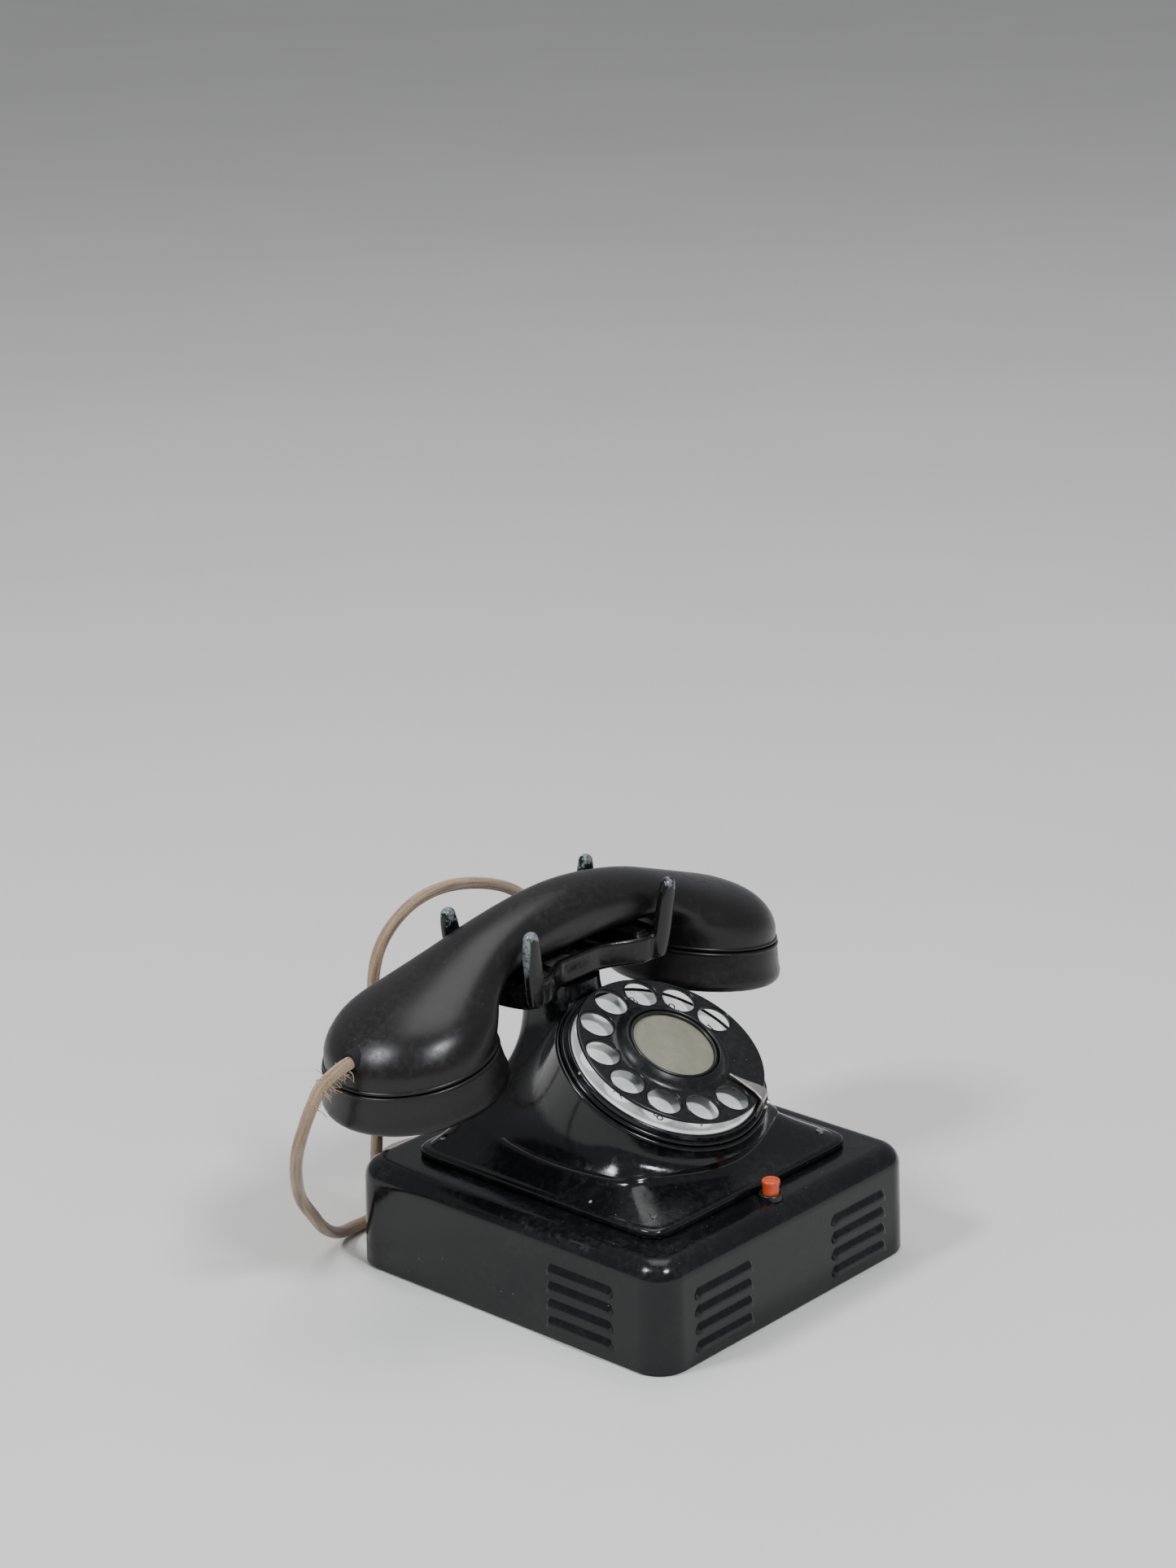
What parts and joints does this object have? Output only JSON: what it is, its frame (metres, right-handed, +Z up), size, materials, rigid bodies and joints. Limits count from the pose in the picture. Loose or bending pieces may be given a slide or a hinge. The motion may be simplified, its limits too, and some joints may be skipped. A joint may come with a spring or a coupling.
{
  "type": "rotary telephone",
  "caption": "Desk telephone with a rotary dial, a press button, a louvred metal base and a domed handset resting in a pronged cradle on a flared neck.",
  "frame": {"origin": "on the table, under the middle of the base case", "axes": "+X to the user's right along the handset, -Y to the user, +Z up"},
  "size_m": [0.2484, 0.2218, 0.146],
  "materials": {
    "case_enamel": "gloss black enamel",
    "bakelite": "satin brown-black",
    "wheel_enamel": "satin black",
    "plate_enamel": "glazed white",
    "card": "matte",
    "nickel": "satin nickel",
    "steel": "plain",
    "brass": "plain",
    "button_red": "gloss",
    "black_plastic": "matte",
    "rubber": "matte",
    "cord_braid": "braided cotton",
    "coil_wrap": "varnished"
  },
  "bodies": {
    "base": {"rubber_feet": "rubber", "bottom_plate": "steel", "bottom_screws": "steel", "base_case": "case_enamel", "upper_case": "case_enamel", "upper_case_screws": "steel", "dial_bezel": "case_enamel", "number_plate": "plate_enamel", "dial_can": "steel", "bearing_plate": "brass", "return_spring": "steel", "pulse_contacts": "brass", "governor_cup": "brass", "finger_stop": "nickel", "finger_stop_screws": "nickel", "hook_frame": "brass", "hook_contacts": "brass", "button_collar": "black_plastic", "button_contacts": "brass", "ringer_frame": "steel", "ringer_coils": "coil_wrap", "gong_left": "brass", "gong_right": "brass", "gong_posts": "steel", "condenser": "steel", "induction_coil": "coil_wrap", "terminal_block": "black_plastic", "terminal_screws": "brass", "cord_gland": "rubber"},
    "finger_wheel": {"finger_wheel": "wheel_enamel", "wheel_spokes": "wheel_enamel", "wheel_rim": "wheel_enamel", "card_disc": "card", "card_ring": "wheel_enamel", "dial_shaft": "steel", "main_gear": "brass"},
    "governor": {"governor": "steel"},
    "push_button": {"push_button": "button_red"},
    "cradle": {"cradle": "bakelite", "cradle_plunger": "steel"},
    "hook_lever": {"hook_lever": "steel"},
    "clapper": {"clapper": "steel"},
    "handset": {"handset_body": "bakelite", "transmitter_cap": "bakelite", "receiver_cap": "bakelite", "transmitter_capsule": "steel", "receiver_capsule": "steel", "cord_bush": "black_plastic", "handset_cord": "cord_braid"}
  },
  "joints": [
    {"name": "dial_spin", "type": "hinge", "parent": "base", "child": "finger_wheel", "pos_m": [0, -0.0205, 0.0907], "axis": [0, -0.4695, 0.8829], "range_deg": [-330, 0], "stiffness_Nm_per_rad": 0.02},
    {"name": "governor_spin", "type": "hinge", "parent": "base", "child": "governor", "pos_m": [-0.02079, -0.00991, 0.09633], "axis": [0, -0.4695, 0.8829], "range_deg": [0, 1650]},
    {"name": "button_press", "type": "slide", "parent": "base", "child": "push_button", "axis": [0, 0, -1], "range_m": [0, 0.003], "stiffness_N_per_m": 200},
    {"name": "handset_lift", "type": "slide", "parent": "base", "child": "handset", "axis": [0, 0, 1], "range_m": [0, 0.08]},
    {"name": "cradle_rise", "type": "slide", "parent": "base", "child": "cradle", "axis": [0, 0, 1], "range_m": [0, 0.004]},
    {"name": "hook_lever_turn", "type": "hinge", "parent": "base", "child": "hook_lever", "pos_m": [0.01, 0.0355, 0.0832], "axis": [0, 1, 0], "range_deg": [0, 20]},
    {"name": "clapper_swing", "type": "hinge", "parent": "base", "child": "clapper", "pos_m": [0, 0.03, 0.019], "axis": [0, 0, 1], "range_deg": [-8, 8], "stiffness_Nm_per_rad": 0.004}
  ],
  "couplings": [
    {"joint": "governor_spin", "follows": "dial_spin", "ratio": -5},
    {"joint": "cradle_rise", "follows": "handset_lift", "ratio": 0.05},
    {"joint": "hook_lever_turn", "follows": "handset_lift", "rad_per_m": 4.25}
  ]
}
